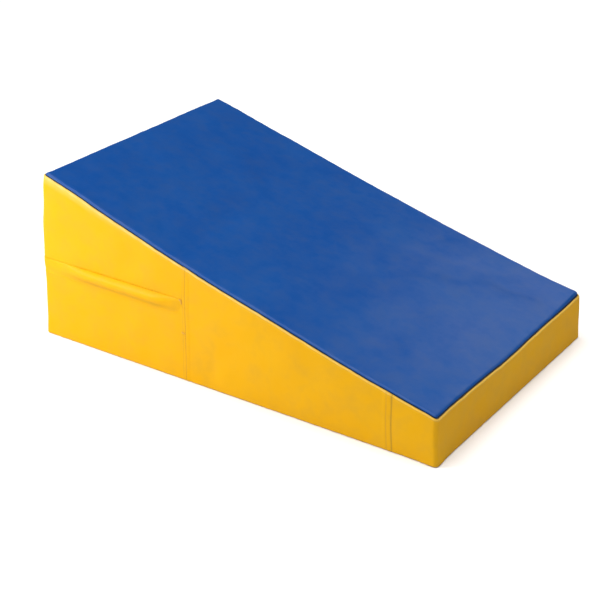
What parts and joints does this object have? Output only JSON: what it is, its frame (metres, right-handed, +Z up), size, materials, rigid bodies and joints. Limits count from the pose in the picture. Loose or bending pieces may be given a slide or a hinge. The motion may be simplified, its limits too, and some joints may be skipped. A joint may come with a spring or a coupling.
{
  "type": "incline wedge mat",
  "caption": "Firm foam incline wedge in a sewn vinyl cover, blue slope and yellow sides, with a zip under a hemmed flap round the high end.",
  "frame": {"origin": "bottom centre of the whole object, flaps included, on the floor the mat stands on", "axes": "+X along the mat's length down the slope to the low end, +Y across the mat to its far side, +Z up"},
  "size_m": [0.9511, 0.647, 0.355],
  "materials": {
    "vinyl_blue": "satin vinyl-coated polyester",
    "vinyl_yellow": "satin vinyl-coated polyester",
    "core_foam": "matte open-cell foam, stands in for urethane foam",
    "sheet_foam": "matte closed-cell foam sheet",
    "zip_tape": "matte woven tape",
    "zip_coil": "satin nylon",
    "zip_metal": "satin plated zinc",
    "thread": "satin polyester thread"
  },
  "bodies": {
    "cover": {"foam_base_slab": "core_foam", "foam_middle_slab": "core_foam", "foam_upper_wedge": "core_foam", "foam_top_sheet": "sheet_foam", "top_panel": "vinyl_blue", "bottom_panel": "vinyl_yellow", "front_band": "vinyl_yellow", "side_panel_near": "vinyl_yellow", "side_panel_far": "vinyl_yellow", "rear_upper_band": "vinyl_yellow", "rear_lower_band": "vinyl_yellow", "zip_tape_upper": "zip_tape", "zip_tape_lower": "zip_tape", "zip_coil_upper": "zip_coil", "zip_coil_lower": "zip_coil", "zip_end_stops": "zip_metal", "rear_lap_stitches_near": "thread", "rear_lap_stitches_far": "thread", "front_lap_stitches_near": "thread", "front_lap_stitches_far": "thread", "flap_bar_tacks": "thread"},
    "near_flap": {"zip_flap_near": "vinyl_yellow"},
    "back_flap": {"zip_flap_back": "vinyl_yellow"},
    "far_flap": {"zip_flap_far": "vinyl_yellow"},
    "slider": {"zip_slider": "zip_metal"},
    "pull": {"zip_pull": "zip_metal"}
  },
  "joints": [
    {"name": "near_flap_lift", "type": "hinge", "parent": "cover", "child": "near_flap", "pos_m": [-0.2795, -0.3065, 0.146], "axis": [1, 0, 0], "range_deg": [0, 110], "stiffness_Nm_per_rad": 0.002, "springref_deg": -22.92},
    {"name": "back_flap_lift", "type": "hinge", "parent": "cover", "child": "back_flap", "pos_m": [-0.466, 0, 0.146], "axis": [0, -1, 0], "range_deg": [0, 110], "stiffness_Nm_per_rad": 0.002, "springref_deg": -22.92},
    {"name": "far_flap_lift", "type": "hinge", "parent": "cover", "child": "far_flap", "pos_m": [-0.2795, 0.3065, 0.146], "axis": [-1, 0, 0], "range_deg": [0, 110], "stiffness_Nm_per_rad": 0.002, "springref_deg": -22.92},
    {"name": "slider_travel", "type": "slide", "parent": "cover", "child": "slider", "axis": [-1, 0, 0], "range_m": [0, 0.175]},
    {"name": "pull_flip", "type": "hinge", "parent": "slider", "child": "pull", "pos_m": [-0.1795, -0.3096, 0.163], "axis": [0, 0, -1], "range_deg": [0, 180]}
  ]
}
